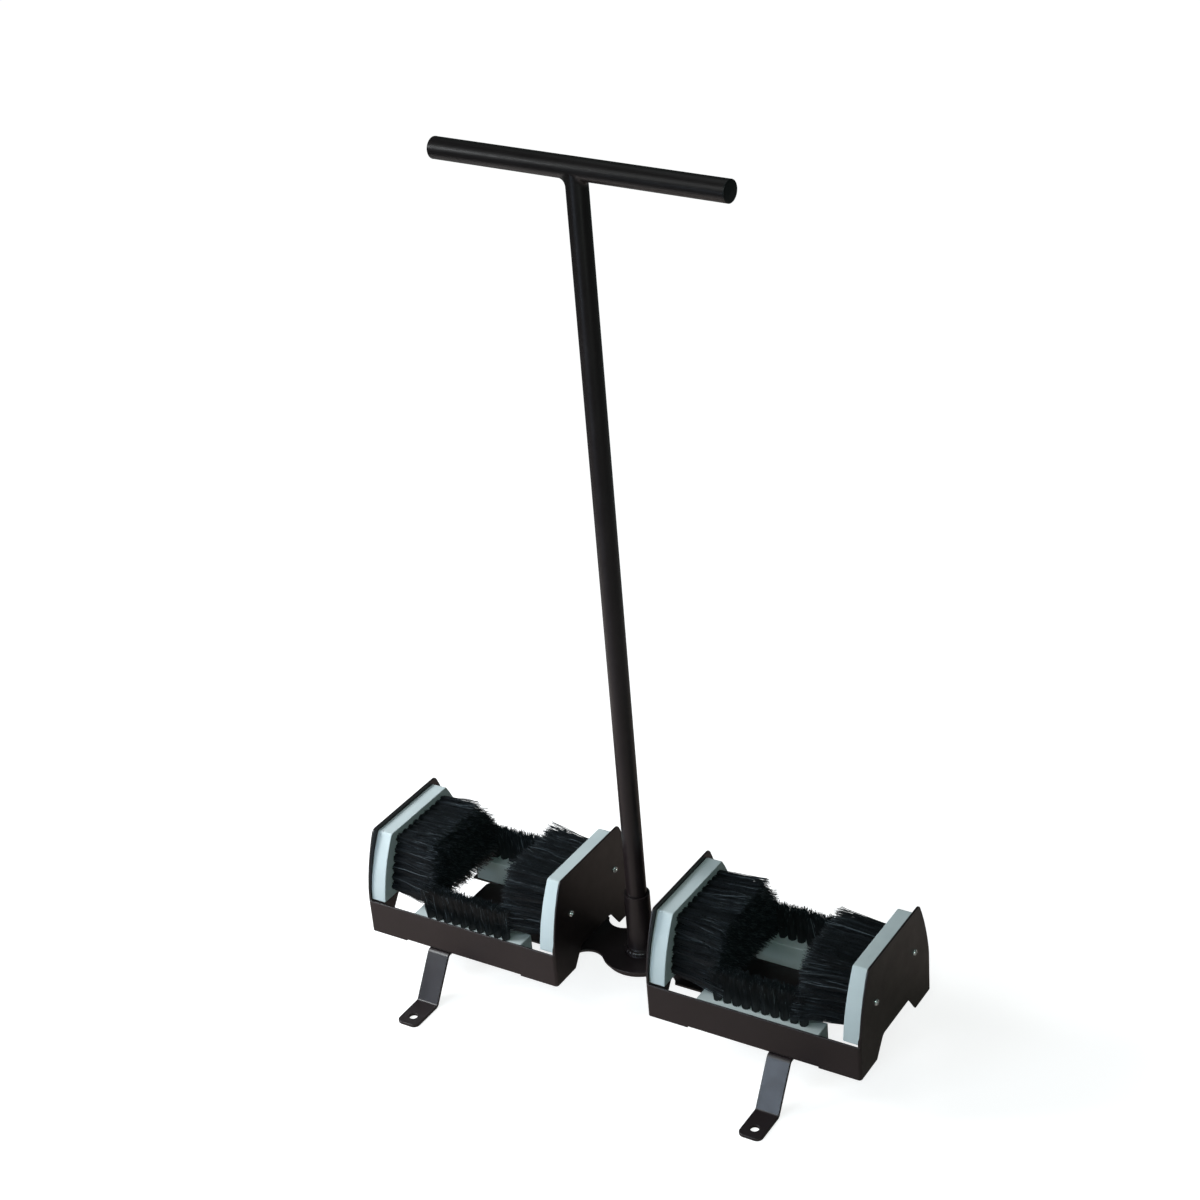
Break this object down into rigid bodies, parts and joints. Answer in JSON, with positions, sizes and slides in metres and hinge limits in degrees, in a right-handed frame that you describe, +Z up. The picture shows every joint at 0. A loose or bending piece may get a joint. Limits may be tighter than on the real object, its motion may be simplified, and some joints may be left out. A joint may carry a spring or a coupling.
{
  "type": "boot scraper",
  "caption": "Boot scraper: two open sheet steel trays of fixed brushes on a flat cross plate with strap feet, and a tall T handle turning in a socket between them.",
  "frame": {"origin": "on the ground under the post's axis, midway between the two trays", "axes": "+Z up, +X along the row of trays towards the right-hand tray, +Y to the back"},
  "size_m": [0.7072, 0.366, 1.1],
  "materials": {
    "powder_coat": "satin black powder coat on steel",
    "brush_block": "satin pale blue-grey moulded plastic",
    "bristle": "stiff black plastic bristle",
    "zinc_screw": "bright zinc plated",
    "end_plug": "black plastic plug, slightly glossy"
  },
  "bodies": {
    "stand": {"left_tray": "powder_coat", "right_tray": "powder_coat", "cross_plate": "powder_coat", "hub_boss": "powder_coat", "left_spacer": "powder_coat", "right_spacer": "powder_coat", "post_socket": "powder_coat", "left_foot_strap": "powder_coat", "right_foot_strap": "powder_coat", "left_outer_block": "brush_block", "left_inner_block": "brush_block", "left_front_block": "brush_block", "left_rear_block": "brush_block", "right_outer_block": "brush_block", "right_inner_block": "brush_block", "right_front_block": "brush_block", "right_rear_block": "brush_block", "left_outer_bristles": "bristle", "left_inner_bristles": "bristle", "left_front_bristles": "bristle", "left_rear_bristles": "bristle", "right_outer_bristles": "bristle", "right_inner_bristles": "bristle", "right_front_bristles": "bristle", "right_rear_bristles": "bristle", "side_block_screws": "zinc_screw", "bottom_block_screws": "zinc_screw"},
    "handle": {"handle_post": "powder_coat", "handle_bar": "powder_coat", "left_end_plug": "end_plug", "right_end_plug": "end_plug"}
  },
  "joints": [
    {"name": "handle_turn", "type": "hinge", "parent": "stand", "child": "handle", "pos_m": [0, 0, 0.08], "axis": [0, 0, 1], "continuous": true}
  ]
}
